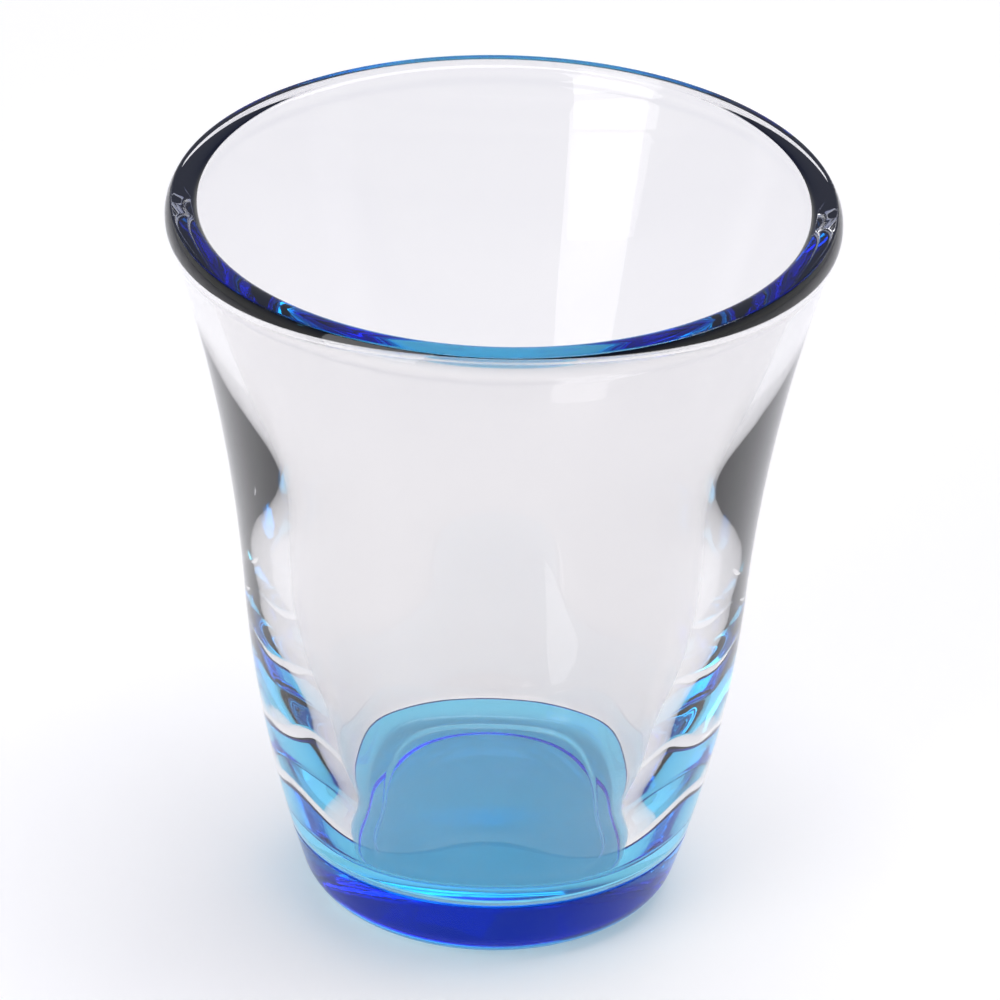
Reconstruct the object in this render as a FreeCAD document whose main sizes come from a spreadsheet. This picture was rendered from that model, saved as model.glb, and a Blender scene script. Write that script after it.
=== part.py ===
import FreeCAD, Part
import math
import os
import Sketcher

# A clear pressed-glass tumbler with a coloured base, in millimetres.
# +Z is up, the glass stands on Z = 0 and its axis is the Z axis.
# The outside is a body of revolution: a rounded heel, a wall that swells out to a waist, a flare and a
# thick rim bead.  The inside is round at the mouth and turns into a rounded square at the floor.
# The base is covered by a bonded translucent coat that lies flush in a shallow seat in the glass.

# Driving dimensions: alias, value, meaning.
DIMENSIONS = [
    ("rim_radius", 42.5, "largest radius of the rim bead"),
    ("rim_height", 97.0, "overall height"),
    ("bead_radius", 3.05, "radius of the bead's round outer face"),
    ("bead_height", 95.1, "height of the bead's widest circle"),
    ("mouth_round", 0.9, "rounding of the rim's inner edge"),
    ("lip_round", 0.45, "rounding of the rim's outer edge"),
    ("flare_radius", 237.0, "radius of the hollow flare above the waist"),
    ("waist_radius", 32.1, "outside radius where the swell meets the flare"),
    ("waist_height", 43.0, "height of that circle"),
    ("swell_radius", 172.0, "radius of the swelling wall below the waist"),
    ("heel_radius", 5.8, "rounding between wall and foot"),
    ("foot_radius", 18.7, "outer radius of the flat foot ring"),
    ("recess_radius", 17.2, "radius of the recess roof under the base"),
    ("recess_run", 0.7, "width of the slope from foot ring to recess roof"),
    ("recess_depth", 0.8, "height of the recess roof"),
    ("coat_thickness", 0.25, "thickness of the coloured coat"),
    ("coat_height", 10.0, "height of the coat's upper edge"),
    ("panel_half", 13.7, "half width of the sunk panel in the floor"),
    ("panel_corner", 10.2, "corner radius of that panel"),
    ("panel_depth", 0.7, "depth of that panel"),
    ("panel_round", 0.5, "rounding of the panel's bottom edge"),
    ("cove_round", 2.8, "rounding between cavity wall and floor"),
]

# Cross sections of the cavity, from floor to above the mouth: name, height, half width, corner radius.
CAVITY_SECTIONS = [
    ("floor", 10.6, 17.0, 12.4),
    ("cove", 14.0, 17.9, 13.6),
    ("heel", 18.0, 19.1, 15.7),
    ("shin", 24.0, 21.3, 18.9),
    ("knee", 30.0, 23.3, 21.9),
    ("hip", 38.0, 25.5, 25.2),
    ("waist", 44.0, 26.5, 26.45),
    ("belly", 52.0, 27.6, 27.55),
    ("chest", 60.0, 29.0, 28.95),
    ("shoulder", 75.0, 32.8, 32.75),
    ("neck", 88.0, 36.15, 36.1),
    ("mouth", 99.0, 39.0, 38.95),
]


def fill_sheet(doc):
    """Put every driving dimension in a spreadsheet, one alias per cell."""
    sheet = doc.addObject("Spreadsheet::Sheet", "Sizes")
    rows = list(DIMENSIONS)
    for name, height, half, corner in CAVITY_SECTIONS:
        rows.append((name + "_level", height, name + " section: height"))
        rows.append((name + "_half", half, name + " section: half width"))
        rows.append((name + "_corner", corner, name + " section: corner radius"))
    for number, (alias, value, meaning) in enumerate(rows, start=1):
        sheet.set("A%d" % number, meaning)
        sheet.set("B%d" % number, str(value))
        sheet.setAlias("B%d" % number, alias)
    doc.recompute()
    return sheet


def new_body(doc, label):
    body = doc.addObject("PartDesign::Body", label)
    body.Label = label
    return body


def origin_plane(body, role):
    for item in body.Origin.OriginFeatures:
        if item.Role == role:
            return item
    raise ValueError("no origin feature " + role)


def new_sketch(body, name, role):
    sketch = body.newObject("Sketcher::SketchObject", name)
    sketch.AttachmentSupport = [(origin_plane(body, role), "")]
    sketch.MapMode = "FlatFace"
    return sketch


def add_line(sketch, start, end):
    return sketch.addGeometry(Part.LineSegment(FreeCAD.Vector(*start, 0), FreeCAD.Vector(*end, 0)), False)


def add_arc(sketch, centre, radius, start, end):
    """An arc that runs anticlockwise from start to end, both in degrees."""
    circle = Part.Circle(FreeCAD.Vector(*centre, 0), FreeCAD.Vector(0, 0, 1), radius)
    return sketch.addGeometry(Part.ArcOfCircle(circle, math.radians(start), math.radians(end)), False)


def tie(sketch, kind, *items):
    return sketch.addConstraint(Sketcher.Constraint(kind, *items))


def drive(sketch, kind, items, expression):
    """Add a dimension and bind it to an expression of the sheet's cells."""
    value = read(sketch, expression)
    number = sketch.addConstraint(Sketcher.Constraint(kind, *items, value))
    sketch.setExpression("Constraints[%d]" % number, expression)
    return number


def read(host, expression):
    return float(host.evalExpression(expression))


ORIGIN = (-1, 1)
START, END, CENTRE = 1, 2, 3


def wall_arcs(sketch, sheet, inset, top_height):
    """The heel and swell arcs, inset from the outside by a number, ending at top_height."""
    waist_z, waist_r = sheet.waist_height, sheet.waist_radius
    swell, heel, foot = sheet.swell_radius, sheet.heel_radius, sheet.foot_radius
    swell_z, swell_r = swell_centre(sheet)
    tangent = math.degrees(math.atan2(heel - swell_z, foot - swell_r))
    top = -math.degrees(math.asin((swell_z - top_height) / (swell - inset)))
    heel_arc = add_arc(sketch, (foot, heel), heel - inset, -90, tangent)
    swell_arc = add_arc(sketch, (swell_r, swell_z), swell - inset, tangent, top)
    return heel_arc, swell_arc


def swell_centre(sheet):
    """Centre of the swell arc: it passes through the waist and touches the heel arc from outside."""
    waist = (sheet.waist_radius, sheet.waist_height)
    heel = (sheet.foot_radius, sheet.heel_radius)
    reach_waist = sheet.swell_radius
    reach_heel = sheet.swell_radius - sheet.heel_radius
    gap = math.hypot(waist[0] - heel[0], waist[1] - heel[1])
    along = (reach_heel ** 2 - reach_waist ** 2 + gap ** 2) / (2 * gap)
    across = math.sqrt(reach_heel ** 2 - along ** 2)
    ux, uy = (waist[0] - heel[0]) / gap, (waist[1] - heel[1]) / gap
    return heel[1] + along * uy + across * ux, heel[0] + along * ux - across * uy


def outline_sketch(body, sheet):
    """Half of the glass's outside, as a solid with no cavity."""
    sketch = new_sketch(body, "outline", "XZ_Plane")
    swell_z, swell_r = swell_centre(sheet)
    waist = (sheet.waist_radius, sheet.waist_height)
    slope = math.degrees(math.atan2(swell_z - waist[1], waist[0] - swell_r))
    flare_r = waist[0] + sheet.flare_radius * math.cos(math.radians(slope))
    flare_z = waist[1] - sheet.flare_radius * math.sin(math.radians(slope))
    bead_r = sheet.rim_radius - sheet.bead_radius
    bead_half = sheet.rim_height - sheet.bead_height
    edge_r = bead_r + math.sqrt(sheet.bead_radius ** 2 - bead_half ** 2)
    bead_end = math.degrees(math.asin(bead_half / sheet.bead_radius))
    flare_top = 180 - math.degrees(math.asin((sheet.bead_height - bead_half - flare_z) / sheet.flare_radius))
    roof, run, depth = sheet.recess_radius, sheet.recess_run, sheet.recess_depth

    roof_line = add_line(sketch, (0, depth), (roof, depth))
    slope_line = add_line(sketch, (roof, depth), (roof + run, 0))
    foot_line = add_line(sketch, (roof + run, 0), (sheet.foot_radius, 0))
    heel_arc, swell_arc = wall_arcs(sketch, sheet, 0, waist[1])
    flare_arc = add_arc(sketch, (flare_r, flare_z), sheet.flare_radius, flare_top, 180 - slope)
    bead_arc = add_arc(sketch, (bead_r, sheet.bead_height), sheet.bead_radius, -bead_end, bead_end)
    top_line = add_line(sketch, (edge_r, sheet.rim_height), (0, sheet.rim_height))
    axis_line = add_line(sketch, (0, sheet.rim_height), (0, depth))

    tie(sketch, "Horizontal", roof_line)
    tie(sketch, "Coincident", roof_line, END, slope_line, START)
    tie(sketch, "Coincident", slope_line, END, foot_line, START)
    tie(sketch, "Horizontal", foot_line)
    tie(sketch, "Tangent", foot_line, END, heel_arc, START)
    tie(sketch, "Tangent", heel_arc, END, swell_arc, START)
    tie(sketch, "Tangent", swell_arc, END, flare_arc, END)
    tie(sketch, "Coincident", flare_arc, START, bead_arc, START)
    tie(sketch, "Coincident", bead_arc, END, top_line, START)
    tie(sketch, "Horizontal", top_line)
    tie(sketch, "Coincident", top_line, END, axis_line, START)
    tie(sketch, "Vertical", axis_line)
    tie(sketch, "Coincident", axis_line, END, roof_line, START)
    tie(sketch, "PointOnObject", axis_line, START, -2)

    drive(sketch, "DistanceY", (*ORIGIN, roof_line, START), "Sizes.recess_depth")
    drive(sketch, "DistanceX", (*ORIGIN, roof_line, END), "Sizes.recess_radius")
    drive(sketch, "DistanceX", (slope_line, START, slope_line, END), "Sizes.recess_run")
    tie(sketch, "PointOnObject", foot_line, START, -1)
    drive(sketch, "DistanceX", (*ORIGIN, foot_line, END), "Sizes.foot_radius")
    drive(sketch, "Radius", (heel_arc,), "Sizes.heel_radius")
    drive(sketch, "Radius", (swell_arc,), "Sizes.swell_radius")
    drive(sketch, "DistanceX", (*ORIGIN, swell_arc, END), "Sizes.waist_radius")
    drive(sketch, "DistanceY", (*ORIGIN, swell_arc, END), "Sizes.waist_height")
    drive(sketch, "Radius", (flare_arc,), "Sizes.flare_radius")
    drive(sketch, "Radius", (bead_arc,), "Sizes.bead_radius")
    drive(sketch, "DistanceX", (*ORIGIN, bead_arc, CENTRE), "Sizes.rim_radius - Sizes.bead_radius")
    drive(sketch, "DistanceY", (*ORIGIN, bead_arc, CENTRE), "Sizes.bead_height")
    drive(sketch, "DistanceY", (*ORIGIN, top_line, START), "Sizes.rim_height")
    return sketch


def coat_sketch(body, sheet):
    """The coat's cross section, a thin skin that follows the underside, foot, heel and lower wall."""
    sketch = new_sketch(body, "coat_section", "XZ_Plane")
    skin = sheet.coat_thickness
    roof, run, depth = sheet.recess_radius, sheet.recess_run, sheet.recess_depth
    foot, level = sheet.foot_radius, sheet.coat_height
    swell_z, swell_r = swell_centre(sheet)
    drop = swell_z - level
    edge = swell_r + math.sqrt(sheet.swell_radius ** 2 - drop ** 2)
    seat = swell_r + math.sqrt((sheet.swell_radius - skin) ** 2 - drop ** 2)

    outer_heel, outer_swell = wall_arcs(sketch, sheet, 0, level)
    inner_heel, inner_swell = wall_arcs(sketch, sheet, skin, level)
    rings = []
    for lift in (0, skin):
        roof_line = add_line(sketch, (0, depth + lift), (roof, depth + lift))
        slope_line = add_line(sketch, (roof, depth + lift), (roof + run, lift))
        foot_line = add_line(sketch, (roof + run, lift), (foot, lift))
        tie(sketch, "Horizontal", roof_line)
        tie(sketch, "Coincident", roof_line, END, slope_line, START)
        tie(sketch, "Coincident", slope_line, END, foot_line, START)
        tie(sketch, "Horizontal", foot_line)
        rings.append((roof_line, slope_line, foot_line))
    (roof_out, slope_out, foot_out), (roof_in, slope_in, foot_in) = rings
    axis_line = add_line(sketch, (0, depth), (0, depth + skin))
    top_line = add_line(sketch, (edge, level), (seat, level))

    tie(sketch, "Tangent", foot_out, END, outer_heel, START)
    tie(sketch, "Tangent", foot_in, END, inner_heel, START)
    tie(sketch, "Tangent", outer_heel, END, outer_swell, START)
    tie(sketch, "Tangent", inner_heel, END, inner_swell, START)
    tie(sketch, "Coincident", outer_swell, CENTRE, inner_swell, CENTRE)
    tie(sketch, "Coincident", outer_swell, END, top_line, START)
    tie(sketch, "Coincident", inner_swell, END, top_line, END)
    tie(sketch, "Horizontal", top_line)
    tie(sketch, "Coincident", axis_line, START, roof_out, START)
    tie(sketch, "Coincident", axis_line, END, roof_in, START)
    tie(sketch, "PointOnObject", axis_line, START, -2)
    tie(sketch, "Vertical", axis_line)

    drive(sketch, "DistanceY", (*ORIGIN, roof_out, START), "Sizes.recess_depth")
    drive(sketch, "DistanceY", (axis_line, START, axis_line, END), "Sizes.coat_thickness")
    for slope_line in (slope_out, slope_in):
        drive(sketch, "DistanceX", (*ORIGIN, slope_line, START), "Sizes.recess_radius")
        drive(sketch, "DistanceX", (slope_line, START, slope_line, END), "Sizes.recess_run")
    tie(sketch, "PointOnObject", foot_out, START, -1)
    drive(sketch, "DistanceY", (foot_out, START, foot_in, START), "Sizes.coat_thickness")
    drive(sketch, "DistanceX", (*ORIGIN, foot_out, END), "Sizes.foot_radius")
    drive(sketch, "DistanceX", (*ORIGIN, foot_in, END), "Sizes.foot_radius")
    drive(sketch, "Radius", (outer_heel,), "Sizes.heel_radius")
    drive(sketch, "Radius", (outer_swell,), "Sizes.swell_radius")
    drive(sketch, "Radius", (inner_swell,), "Sizes.swell_radius - Sizes.coat_thickness")
    drive(sketch, "DistanceY", (*ORIGIN, top_line, START), "Sizes.coat_height")
    waist = FreeCAD.Vector(sheet.waist_radius, sheet.waist_height, 0)
    waist_point = sketch.addGeometry(Part.Point(waist), True)
    tie(sketch, "PointOnObject", waist_point, START, outer_swell)
    drive(sketch, "DistanceX", (*ORIGIN, waist_point, START), "Sizes.waist_radius")
    drive(sketch, "DistanceY", (*ORIGIN, waist_point, START), "Sizes.waist_height")
    return sketch


def rounded_square(body, sheet, name, level, half, corner):
    """A square with rounded corners, centred on the axis; level, half and corner are sheet aliases."""
    sketch = new_sketch(body, name, "XY_Plane")
    sketch.AttachmentOffset = FreeCAD.Placement(FreeCAD.Vector(0, 0, getattr(sheet, level)), FreeCAD.Rotation())
    sketch.setExpression("AttachmentOffset.Base.z", "Sizes." + level)
    size, radius = getattr(sheet, half), getattr(sheet, corner)
    inner = size - radius
    sides = []
    arcs = []
    for quarter in range(4):
        turn = math.radians(90 * quarter)
        cos, sin = math.cos(turn), math.sin(turn)
        start = (cos * -inner + sin * size, sin * -inner - cos * size)
        end = (cos * inner + sin * size, sin * inner - cos * size)
        centre = (cos * inner + sin * inner, sin * inner - cos * inner)
        sides.append(add_line(sketch, start, end))
        arcs.append(add_arc(sketch, centre, radius, 90 * quarter - 90, 90 * quarter))
    for quarter in range(4):
        tie(sketch, "Tangent", sides[quarter], END, arcs[quarter], START)
        tie(sketch, "Tangent", arcs[quarter], END, sides[(quarter + 1) % 4], START)
        tie(sketch, "Horizontal" if quarter % 2 == 0 else "Vertical", sides[quarter])
        if quarter:
            tie(sketch, "Equal", arcs[0], arcs[quarter])
    drive(sketch, "Radius", (arcs[0],), "Sizes." + corner)
    drive(sketch, "DistanceX", (*ORIGIN, sides[1], START), "Sizes." + half)
    drive(sketch, "DistanceX", (sides[3], START, *ORIGIN), "Sizes." + half)
    drive(sketch, "DistanceY", (*ORIGIN, sides[2], START), "Sizes." + half)
    drive(sketch, "DistanceY", (sides[0], START, *ORIGIN), "Sizes." + half)
    return sketch


def revolve(body, kind, name, sketch):
    """A full turn of the sketch about the Z axis, added (Revolution) or cut away (Groove)."""
    feature = body.newObject("PartDesign::" + kind, name)
    feature.Profile = sketch
    feature.ReferenceAxis = (origin_plane(body, "Z_Axis"), [""])
    feature.Angle = 360
    return feature


def edges_at(shape, test):
    return ["Edge%d" % number for number, edge in enumerate(shape.Edges, start=1) if test(edge)]


def level_edges(shape, level, low, high):
    """Edges that lie flat at a level, with every point between two distances from the axis."""
    def test(edge):
        for point in edge.discretize(Number=5):
            if abs(point.z - level) > 1e-3 or not low < math.hypot(point.x, point.y) < high:
                return False
        return True
    return edges_at(shape, test)


def round_edges(doc, body, base, name, edges, expression):
    if not edges:
        raise ValueError("no edges found for " + name)
    fillet = body.newObject("PartDesign::Fillet", name)
    fillet.Base = (base, edges)
    fillet.Radius = read(fillet, expression)
    fillet.setExpression("Radius", expression)
    doc.recompute()
    return fillet


def make_glass(doc, sheet):
    """The clear glass: turned outside, seat for the coat, lofted cavity and a sunk panel in its floor."""
    body = new_body(doc, "glass_body")
    blank = revolve(body, "Revolution", "blank", outline_sketch(body, sheet))
    doc.recompute()
    blank_volume = blank.Shape.Volume
    seat = revolve(body, "Groove", "coat_seat", coat_sketch(body, sheet))
    doc.recompute()
    if not seat.Shape.Volume < blank_volume:
        raise ValueError("the coat's seat cut nothing away")

    sections = []
    for name, _, _, _ in CAVITY_SECTIONS:
        levels = (name + "_level", name + "_half", name + "_corner")
        sections.append(rounded_square(body, sheet, name + "_section", *levels))
    cavity = body.newObject("PartDesign::SubtractiveLoft", "cavity")
    cavity.Profile = sections[0]
    cavity.Sections = sections[1:]
    cavity.Ruled = False
    doc.recompute()
    if not cavity.Shape.Volume < 0.75 * seat.Shape.Volume:
        raise ValueError("the cavity cut too little away")

    floor = level_edges(cavity.Shape, sheet.floor_level, 0, sheet.rim_radius)
    cove = round_edges(doc, body, cavity, "floor_cove", floor, "Sizes.cove_round")

    panel_sketch = rounded_square(body, sheet, "panel_outline", "floor_level", "panel_half", "panel_corner")
    panel = body.newObject("PartDesign::Pocket", "floor_panel")
    panel.Profile = panel_sketch
    panel.setExpression("Length", "Sizes.panel_depth")
    doc.recompute()
    if not panel.Shape.Volume < cove.Shape.Volume:
        raise ValueError("the floor panel cut nothing away")
    bottom = sheet.floor_level - sheet.panel_depth
    panel_edges = level_edges(panel.Shape, bottom, 0, sheet.rim_radius)
    panel_cove = round_edges(doc, body, panel, "panel_cove", panel_edges, "Sizes.panel_round")

    bead_r = sheet.rim_radius - sheet.bead_radius
    inner = level_edges(panel_cove.Shape, sheet.rim_height, 0, bead_r)
    mouth = round_edges(doc, body, panel_cove, "mouth_round", inner, "Sizes.mouth_round")
    outer = level_edges(mouth.Shape, sheet.rim_height, bead_r + 1, sheet.rim_radius)
    round_edges(doc, body, mouth, "lip_round", outer, "Sizes.lip_round")
    return body


def make_coat(doc, sheet):
    """The coloured coat bonded to the underside, foot, heel and lower wall."""
    body = new_body(doc, "base_coat")
    revolve(body, "Revolution", "coat", coat_sketch(body, sheet))
    doc.recompute()
    return body


def capacity_ml(sheet, glass):
    """Brim capacity: the space inside the glass, up to the plane of the rim."""
    inside = FreeCAD.Vector(0, 0, sheet.waist_height)
    block = Part.makeCylinder(2 * sheet.rim_radius, sheet.rim_height)
    spaces = [solid for solid in block.cut(glass.Shape).Solids if solid.isInside(inside, 0.01, False)]
    return spaces[0].Volume / 1000


def check_document(doc, parts):
    for item in doc.Objects:
        if "Invalid" in item.State or "Error" in item.State:
            raise RuntimeError(item.Name + " failed: " + ", ".join(item.State))
    for part in parts:
        shape = part.Shape
        if shape.isNull() or not shape.isValid() or len(shape.Solids) != 1:
            raise RuntimeError(part.Label + " is not one valid solid")


def main():
    doc = FreeCAD.newDocument("tumbler")
    sheet = fill_sheet(doc)
    glass = make_glass(doc, sheet)
    coat = make_coat(doc, sheet)
    parts = [glass, coat]
    for part in parts:
        part.Placement = FreeCAD.Placement()
    doc.recompute()
    check_document(doc, parts)

    os.makedirs("parts", exist_ok=True)
    for part in parts:
        part.Shape.exportStep("parts/%s.step" % part.Label)
        box = part.Shape.optimalBoundingBox(True, False)
        print("%-12s volume %10.1f mm3  z %.2f to %.2f  width %.2f"
              % (part.Label, part.Shape.Volume, box.ZMin, box.ZMax, box.XLength))
    print("overlap %.4f mm3" % glass.Shape.common(coat.Shape).Volume)
    print("capacity %.0f ml" % capacity_ml(sheet, glass))


main()
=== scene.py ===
import math

import bpy
from mathutils import Matrix, Vector


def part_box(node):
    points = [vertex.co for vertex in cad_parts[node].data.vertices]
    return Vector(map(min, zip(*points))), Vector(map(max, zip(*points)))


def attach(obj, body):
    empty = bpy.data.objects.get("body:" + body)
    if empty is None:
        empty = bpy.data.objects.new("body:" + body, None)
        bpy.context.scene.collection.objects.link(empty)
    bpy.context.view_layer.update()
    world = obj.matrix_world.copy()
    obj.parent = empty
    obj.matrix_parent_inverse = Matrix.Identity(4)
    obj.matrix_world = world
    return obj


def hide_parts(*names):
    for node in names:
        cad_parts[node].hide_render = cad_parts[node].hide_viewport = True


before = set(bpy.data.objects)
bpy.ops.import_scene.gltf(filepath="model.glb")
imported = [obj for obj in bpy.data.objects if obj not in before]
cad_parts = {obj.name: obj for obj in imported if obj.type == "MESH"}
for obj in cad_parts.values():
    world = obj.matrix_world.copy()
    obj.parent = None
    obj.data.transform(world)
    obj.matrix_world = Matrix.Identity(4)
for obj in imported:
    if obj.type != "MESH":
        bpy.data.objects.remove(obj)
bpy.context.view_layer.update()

# ---------------------------------------------------------------- sizes, in millimetres
MM = 0.001
TURN = 2 * math.pi
AROUND = 288              # points round each ring

glass_low, glass_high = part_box("glass_body")
coat_low, coat_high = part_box("base_coat")

RIM_RADIUS = (glass_high.x - glass_low.x) / 2 / MM
RIM_HEIGHT = glass_high.z / MM
COAT_HEIGHT = coat_high.z / MM
BEAD_RADIUS = 3.05
BEAD_DROP = 1.9           # from the rim's top to the bead's widest circle
LIP_SETBACK = 0.27        # rounding of the rim's outer edge
MOUTH_ROUND = 0.9
MOUTH_DEPTH = 2.0         # the cavity wall is drawn from this far below the rim
NECK_ROUND = 0.5          # rounding where the flare meets the bead
FLARE_RADIUS = 237.0
WAIST = (32.1, 43.0)
SWELL_RADIUS = 172.0
HEEL_RADIUS = 5.8
FOOT_RADIUS = 18.7
RECESS_RADIUS = 17.2
RECESS_RUN = 0.7
RECESS_DEPTH = 0.8
RECESS_ROUND = 0.35
SKIN = 0.25
BOND_GAP = 0.003          # keeps the two bonded surfaces apart for the renderer
PANEL_HALF = 13.7
PANEL_DEPTH = 0.7
PANEL_SLOPE = 0.25        # how far the panel's side leans in
PANEL_ROUND = 0.4
PANEL_FLAT = 0.8          # share of the panel that is quite flat
COVE_ROUND = 2.8

# Cavity sections: level, half width, corner radius.
CAVITY = [
    (10.6, 17.0, 12.4),
    (14.0, 17.9, 13.6),
    (18.0, 19.1, 15.7),
    (24.0, 21.3, 18.9),
    (30.0, 23.3, 21.9),
    (38.0, 25.5, 25.2),
    (44.0, 26.5, 26.5),
    (52.0, 27.6, 27.6),
    (60.0, 29.0, 29.0),
    (68.0, 30.9, 30.9),
    (75.0, 32.8, 32.8),
    (88.0, 36.15, 36.15),
    (99.0, 39.0, 39.0),
]
FLOOR_LEVEL = CAVITY[0][0]
ROUND_FROM = 44.0         # the cavity is round from this level up

CAMERA_PLACE = Vector((0.0, -1.14127, 0.67605))
CAMERA_TARGET = Vector((0.00034, 0.0, 0.05455))
CAMERA_LENS = 368.2
CAMERA_ROLL = 0.02362


# ---------------------------------------------------------------- outlines
def swell_centre():
    """The swell arc passes through the waist and touches the heel arc."""
    gap = math.hypot(WAIST[0] - FOOT_RADIUS, WAIST[1] - HEEL_RADIUS)
    reach = SWELL_RADIUS - HEEL_RADIUS
    along = (reach ** 2 - SWELL_RADIUS ** 2 + gap ** 2) / (2 * gap)
    across = math.sqrt(reach ** 2 - along ** 2)
    ux, uz = (WAIST[0] - FOOT_RADIUS) / gap, (WAIST[1] - HEEL_RADIUS) / gap
    return FOOT_RADIUS + along * ux - across * uz, HEEL_RADIUS + along * uz + across * ux


SWELL_R, SWELL_Z = swell_centre()
WAIST_SLOPE = math.atan2(SWELL_Z - WAIST[1], WAIST[0] - SWELL_R)
FLARE_R = WAIST[0] + FLARE_RADIUS * math.cos(WAIST_SLOPE)
FLARE_Z = WAIST[1] - FLARE_RADIUS * math.sin(WAIST_SLOPE)
HEEL_TANGENT = math.atan2(HEEL_RADIUS - SWELL_Z, FOOT_RADIUS - SWELL_R)


def arc(centre, radius, start, end, count):
    """Points on an arc, angles in radians from the +r direction."""
    points = []
    for step in range(count + 1):
        angle = start + (end - start) * step / count
        points.append((centre[0] + radius * math.cos(angle), centre[1] + radius * math.sin(angle)))
    return points


def swell_arc(inset, low, high, count):
    radius = SWELL_RADIUS - inset
    start = math.asin((low - SWELL_Z) / radius)
    end = math.asin((high - SWELL_Z) / radius)
    return arc((SWELL_R, SWELL_Z), radius, start, end, count)


def foot_outline(inset, top):
    """From the axis under the base up to a level on the outer wall, inset from the outside."""
    points = []
    roof = RECESS_DEPTH + inset
    for step in range(10):
        points.append((RECESS_RADIUS * step / 10, roof))
    points += rounded([(RECESS_RADIUS * 0.97, roof), (RECESS_RADIUS, roof),
                       (RECESS_RADIUS + RECESS_RUN, inset), (FOOT_RADIUS, inset)], RECESS_ROUND)
    heel = arc((FOOT_RADIUS, HEEL_RADIUS), HEEL_RADIUS - inset, -math.pi / 2, HEEL_TANGENT, 18)
    points += heel[1:]
    points += swell_arc(inset, heel[-1][1], top, 12)[1:]
    return points


def rounded(points, setback, count=5):
    """A polyline with each inner corner replaced by a short curve that starts setback from it."""
    result = [points[0]]
    for before, corner, after in zip(points, points[1:], points[2:]):
        ends = []
        for other in (before, after):
            length = math.dist(corner, other)
            share = min(setback / length, 0.45)
            ends.append(tuple(c + (o - c) * share for c, o in zip(corner, other)))
        for step in range(count + 1):
            t = step / count
            result.append(tuple((1 - t) ** 2 * a + 2 * t * (1 - t) * c + t * t * b
                                for a, c, b in zip(ends[0], corner, ends[1])))
    result.append(points[-1])
    return result


def exponent(half, corner):
    """The superellipse exponent whose diagonal matches a square of this half width and corner radius."""
    diagonal = (math.sqrt(2) * (half - corner) + corner) / half
    return 1 / (0.5 - math.log2(diagonal))


def spline_bends(levels, values):
    """Second derivatives of the natural cubic spline through the values."""
    count = len(levels)
    bends, carry = [0.0] * count, [0.0] * count
    for k in range(1, count - 1):
        before, after = levels[k] - levels[k - 1], levels[k + 1] - levels[k]
        turn = (values[k + 1] - values[k]) / after - (values[k] - values[k - 1]) / before
        pivot = 2 * (before + after) - before * carry[k - 1]
        carry[k] = after / pivot
        bends[k] = (6 * turn - before * bends[k - 1]) / pivot
    for k in range(count - 2, 0, -1):
        bends[k] -= carry[k] * bends[k + 1]
    return bends


def smooth_through(levels, values, bends, at):
    """The natural cubic spline's value at a level."""
    k = max(i for i in range(len(levels) - 1) if levels[i] <= at or i == 0)
    step = levels[k + 1] - levels[k]
    t = (at - levels[k]) / step
    u = 1 - t
    return (u * values[k] + t * values[k + 1]
            + ((u ** 3 - u) * bends[k] + (t ** 3 - t) * bends[k + 1]) * step * step / 6)


LEVELS = [level for level, _, _ in CAVITY]
HALVES = [half for _, half, _ in CAVITY]
POWERS = [exponent(half, corner) for _, half, corner in CAVITY]
HALF_BENDS = spline_bends(LEVELS, HALVES)
POWER_BENDS = spline_bends(LEVELS, POWERS)


def inner_wall(level):
    return smooth_through(LEVELS, HALVES, HALF_BENDS, level)


def inner_power(level):
    if level >= ROUND_FROM:
        return 2.0
    return max(2.0, smooth_through(LEVELS, POWERS, POWER_BENDS, max(level, FLOOR_LEVEL)))


def upper_outline():
    """From the coat's upper edge over the rim to the cavity's mouth."""
    points = swell_arc(0, COAT_HEIGHT, WAIST[1], 30)
    bead = (RIM_RADIUS - BEAD_RADIUS, RIM_HEIGHT - BEAD_DROP)
    half_angle = math.asin(BEAD_DROP / BEAD_RADIUS)
    start = math.pi - math.asin((WAIST[1] - FLARE_Z) / FLARE_RADIUS)
    end = math.pi - math.asin((bead[1] - BEAD_DROP - FLARE_Z) / FLARE_RADIUS)
    flare = arc((FLARE_R, FLARE_Z), FLARE_RADIUS, start, end, 60)
    points += flare[1:-1]
    bead_arc = arc(bead, BEAD_RADIUS, -half_angle, half_angle, 20)
    points += rounded([flare[-2], flare[-1], bead_arc[2]], NECK_ROUND)[1:-1]
    points += bead_arc[2:-1]
    edge = bead_arc[-1]
    mouth = inner_wall(RIM_HEIGHT)
    below = RIM_HEIGHT - MOUTH_DEPTH
    middle = ((edge[0] + mouth) / 2, RIM_HEIGHT)
    points += rounded([bead_arc[-2], edge, middle], LIP_SETBACK)[1:]
    points += rounded([middle, (mouth, RIM_HEIGHT), (inner_wall(below), below)], MOUTH_ROUND)[1:]
    return points


# ---------------------------------------------------------------- meshes
def ring_points(half, level, power):
    """One closed ring: a circle for power 2, a rounded square above it."""
    points = []
    for step in range(AROUND):
        angle = TURN * step / AROUND
        cos, sin = math.cos(angle), math.sin(angle)
        reach = half / (abs(cos) ** power + abs(sin) ** power) ** (1 / power)
        points.append((reach * cos * MM, reach * sin * MM, level * MM))
    return points


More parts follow.
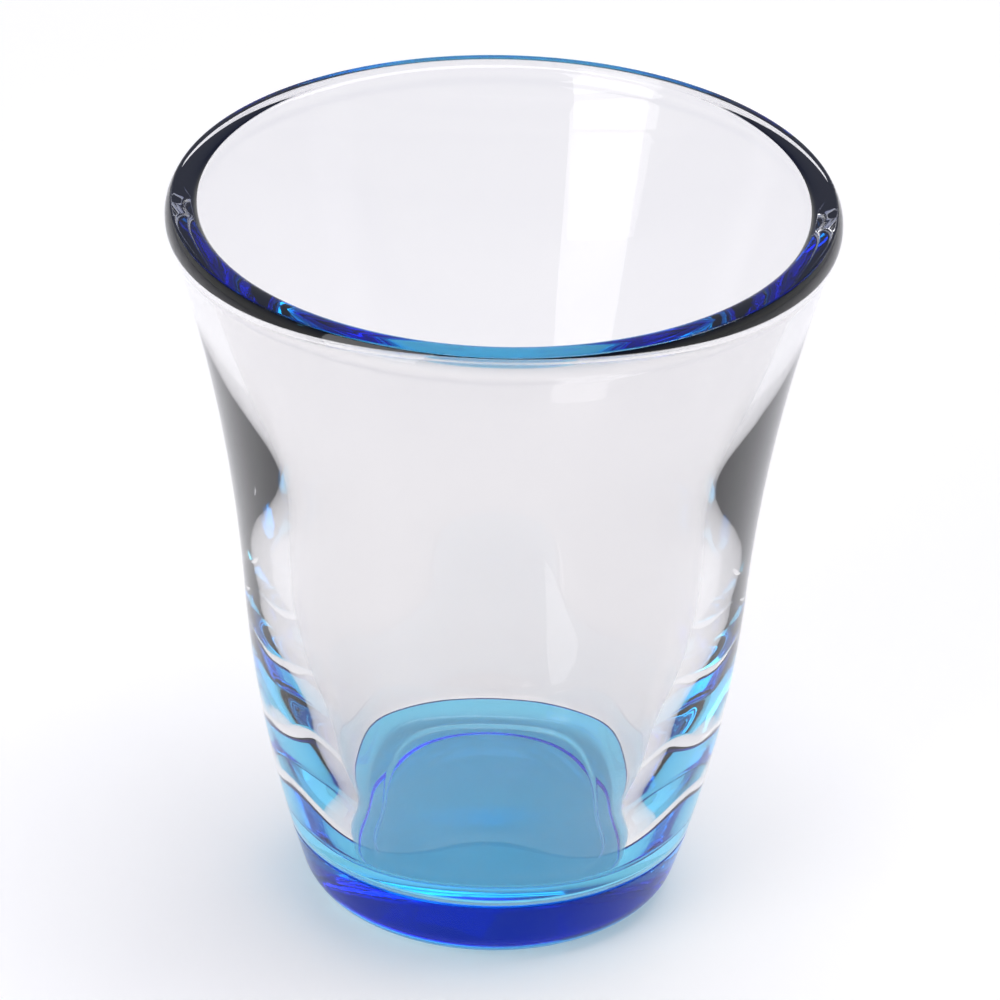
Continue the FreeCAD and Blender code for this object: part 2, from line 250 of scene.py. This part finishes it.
def skin_mesh(name, rings, slots):
    """A closed smooth mesh through rings (half, level, power); slots gives each band's material number."""
    vertices, faces, numbers = [], [], []
    vertices.append((0.0, 0.0, rings[0][1] * MM))
    for half, level, power in rings[1:-1]:
        vertices += ring_points(half, level, power)
    vertices.append((0.0, 0.0, rings[-1][1] * MM))
    last = len(vertices) - 1
    bands = len(rings) - 1
    for band in range(bands):
        low = 1 + (band - 1) * AROUND
        high = low + AROUND
        for step in range(AROUND):
            after = (step + 1) % AROUND
            if band == 0:
                faces.append((0, 1 + after, 1 + step))
            elif band == bands - 1:
                faces.append((low + step, low + after, last))
            else:
                faces.append((low + step, low + after, high + after, high + step))
            numbers.append(slots[band])
    mesh = bpy.data.meshes.new(name)
    mesh.from_pydata(vertices, [], faces)
    mesh.polygons.foreach_set("material_index", numbers)
    mesh.polygons.foreach_set("use_smooth", [True] * len(faces))
    mesh.update()
    mesh.validate()
    piece = bpy.data.objects.new(name, mesh)
    bpy.context.scene.collection.objects.link(piece)
    return piece


def circles(points):
    return [(radius, level, 2.0) for radius, level in points]


def make_glass(clear, bond):
    """The clear glass: seat for the coat, outer wall, rim, cavity and its floor."""
    seat = circles(foot_outline(SKIN, COAT_HEIGHT))
    outside = circles(upper_outline())
    inside = []
    top = RIM_HEIGHT - MOUTH_DEPTH
    low = FLOOR_LEVEL + COVE_ROUND
    count = 80
    for step in range(1, count + 1):
        level = top + (low - top) * step / count
        inside.append((inner_wall(level), level, inner_power(level)))
    power = POWERS[0]
    ledge = (HALVES[0] + PANEL_HALF) / 2
    corner = rounded([(inner_wall(low), low), (HALVES[0], FLOOR_LEVEL), (ledge, FLOOR_LEVEL)], COVE_ROUND, 8)
    inside += [(half, level, power) for half, level in corner[1:]]
    bottom = FLOOR_LEVEL - PANEL_DEPTH
    panel = rounded([(ledge, FLOOR_LEVEL), (PANEL_HALF, FLOOR_LEVEL),
                     (PANEL_HALF - PANEL_SLOPE, bottom), (PANEL_HALF * PANEL_FLAT, bottom)], PANEL_ROUND, 6)
    inside += [(half, level, power) for half, level in panel[1:]]
    for step in range(1, 9):
        inside.append((PANEL_HALF * PANEL_FLAT * (1 - step / 8), bottom, power))
    rings = seat + outside + inside
    slots = [1] * len(seat) + [0] * (len(rings) - len(seat) - 1)
    piece = skin_mesh("clear_tumbler", rings, slots)
    piece.data.materials.append(clear)
    piece.data.materials.append(bond)
    return piece


def make_coat(coat):
    """The blue coat: its outside from the axis up to its edge, then back along the glass."""
    top = COAT_HEIGHT - BOND_GAP
    outside = circles(foot_outline(0, top))
    inside = circles(foot_outline(SKIN - BOND_GAP, top))
    rings = outside + inside[::-1]
    piece = skin_mesh("blue_base_coat", rings, [0] * (len(rings) - 1))
    piece.data.materials.append(coat)
    free = piece.data.attributes.new("free_face", "FLOAT", "FACE")
    bonded = len(rings) - len(outside)
    free.data.foreach_set("value", [1.0] * ((len(outside) - 1) * AROUND) + [0.0] * (bonded * AROUND))
    return piece


# ---------------------------------------------------------------- materials
COAT_ABSORPTION = (0.01, 0.815, 0.988, 1.0)
COAT_DENSITY = 6300.0


def new_material(name):
    material = bpy.data.materials.new(name)
    material.use_nodes = True
    nodes = material.node_tree.nodes
    return material, nodes, material.node_tree.links, nodes["Principled BSDF"], nodes["Material Output"]


def noise(nodes, links, scale, detail, stretch=(1.0, 1.0, 1.0)):
    """Noise in object space, with its own scale along each axis."""
    place = nodes.new("ShaderNodeTexCoord")
    mapping = nodes.new("ShaderNodeMapping")
    mapping.inputs["Scale"].default_value = stretch
    texture = nodes.new("ShaderNodeTexNoise")
    texture.inputs["Scale"].default_value = scale
    texture.inputs["Detail"].default_value = detail
    links.new(place.outputs["Object"], mapping.inputs["Vector"])
    links.new(mapping.outputs["Vector"], texture.inputs["Vector"])
    return texture.outputs["Fac"]


def clear_glass():
    """Fire-polished pressed glass: smooth, with the faint waviness the mould leaves."""
    material, nodes, links, shader, output = new_material("clear_glass")
    shader.inputs["Base Color"].default_value = (0.88, 0.872, 0.870, 1.0)
    shader.inputs["IOR"].default_value = 1.52
    shader.inputs["Transmission Weight"].default_value = 1.0
    shader.inputs["Roughness"].default_value = 0.0
    bump = nodes.new("ShaderNodeBump")
    bump.inputs["Strength"].default_value = 0.04
    bump.inputs["Distance"].default_value = 0.0002
    links.new(noise(nodes, links, 120.0, 1.0, (1.0, 1.0, 0.35)), bump.inputs["Height"])
    links.new(bump.outputs["Normal"], shader.inputs["Normal"])
    return material


def blue_coat():
    """Clear blue lacquer, tinted by its depth. Light passes its bonded inner face unbent."""
    material, nodes, links, shader, output = new_material("blue_coat")
    shader.inputs["Base Color"].default_value = (0.9, 0.95, 1.0, 1.0)
    shader.inputs["Specular Tint"].default_value = (0.1, 0.45, 1.0, 1.0)
    shader.inputs["IOR"].default_value = 1.5
    shader.inputs["Transmission Weight"].default_value = 1.0
    shader.inputs["Roughness"].default_value = 0.0
    volume = nodes.new("ShaderNodeVolumeAbsorption")
    volume.inputs["Color"].default_value = COAT_ABSORPTION
    volume.inputs["Density"].default_value = COAT_DENSITY
    links.new(volume.outputs["Volume"], output.inputs["Volume"])
    bump = nodes.new("ShaderNodeBump")
    bump.inputs["Strength"].default_value = 0.12
    bump.inputs["Distance"].default_value = 0.0002
    links.new(noise(nodes, links, 260.0, 3.0), bump.inputs["Height"])
    links.new(bump.outputs["Normal"], shader.inputs["Normal"])
    free = nodes.new("ShaderNodeAttribute")
    free.attribute_name = "free_face"
    links.new(free.outputs["Fac"], shader.inputs["Alpha"])
    return material


def bonded_seat():
    """Where the coat and the glass are one optical body, light passes straight through."""
    material, nodes, links, shader, output = new_material("bonded_seat")
    shader.inputs["Alpha"].default_value = 0.0
    return material


def pale_floor():
    """A white table that glows a little, so light also comes up into the base."""
    material, nodes, links, shader, output = new_material("pale_floor")
    shader.inputs["Base Color"].default_value = (0.88, 0.85, 0.78, 1.0)
    shader.inputs["Roughness"].default_value = 0.7
    shader.inputs["Emission Color"].default_value = (1.0, 1.0, 1.0, 1.0)
    shader.inputs["Emission Strength"].default_value = 0.25
    return material


# ---------------------------------------------------------------- stage
def softbox(name, centre, size, power):
    """A rectangular area light that faces the glass."""
    data = bpy.data.lights.new(name, "AREA")
    data.shape = "RECTANGLE"
    data.size, data.size_y = size
    data.energy = power
    lamp = bpy.data.objects.new(name, data)
    bpy.context.scene.collection.objects.link(lamp)
    aim = (Vector((0.0, 0.0, 0.06)) - Vector(centre)).to_track_quat("-Z", "Y")
    lamp.matrix_world = Matrix.Translation(Vector(centre)) @ aim.to_matrix().to_4x4()
    lamp.visible_camera = False
    return lamp


def make_stage():
    floor_mesh = bpy.data.meshes.new("floor")
    reach = 3.0
    floor_mesh.from_pydata([(-reach, -reach, 0), (reach, -reach, 0), (reach, reach, 0), (-reach, reach, 0)],
                           [], [(0, 1, 2, 3)])
    floor = bpy.data.objects.new("floor", floor_mesh)
    floor.location.z = -0.00005
    bpy.context.scene.collection.objects.link(floor)
    floor_mesh.materials.append(pale_floor())

    world = bpy.data.worlds.new("studio")
    world.use_nodes = True
    background = world.node_tree.nodes["Background"]
    nodes, links = world.node_tree.nodes, world.node_tree.links
    place = nodes.new("ShaderNodeTexCoord")
    split = nodes.new("ShaderNodeSeparateXYZ")
    ramp = nodes.new("ShaderNodeValToRGB")
    ramp.color_ramp.elements[0].position = 0.12
    ramp.color_ramp.elements[0].color = (0.78, 0.79, 0.80, 1.0)
    ramp.color_ramp.elements[1].position = 0.55
    ramp.color_ramp.elements[1].color = (0.14, 0.17, 0.34, 1.0)
    links.new(place.outputs["Generated"], split.inputs["Vector"])
    links.new(split.outputs["Z"], ramp.inputs["Fac"])
    links.new(ramp.outputs["Color"], background.inputs["Color"])
    background.inputs["Strength"].default_value = 1.0
    bpy.context.scene.world = world
    softbox("top_softbox", (0.25, 0.15, 1.3), (1.2, 1.2), 13.5)
    softbox("side_softbox", (-0.26, -0.30, 0.2), (0.24, 0.42), 0.75)


def make_camera():
    data = bpy.data.cameras.new("photo_camera")
    data.sensor_width = 36.0
    data.lens = CAMERA_LENS
    data.clip_end = 20.0
    camera = bpy.data.objects.new("photo_camera", data)
    bpy.context.scene.collection.objects.link(camera)
    view = (CAMERA_TARGET - CAMERA_PLACE).to_track_quat("-Z", "Y").to_matrix().to_4x4()
    camera.matrix_world = Matrix.Translation(CAMERA_PLACE) @ view @ Matrix.Rotation(CAMERA_ROLL, 4, "Z")
    bpy.context.scene.camera = camera


def set_rendering():
    scene = bpy.context.scene
    scene.view_settings.view_transform = "Standard"
    cycles = scene.cycles
    cycles.max_bounces = 24
    cycles.transmission_bounces = 24
    cycles.glossy_bounces = 12
    cycles.diffuse_bounces = 4
    cycles.transparent_max_bounces = 32
    cycles.caustics_refractive = True
    cycles.caustics_reflective = True
    cycles.use_denoising = True


tumbler = make_glass(clear_glass(), bonded_seat())
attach(tumbler, "root")
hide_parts("glass_body")
base = make_coat(blue_coat())
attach(base, "root")
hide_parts("base_coat")
make_stage()
make_camera()
set_rendering()
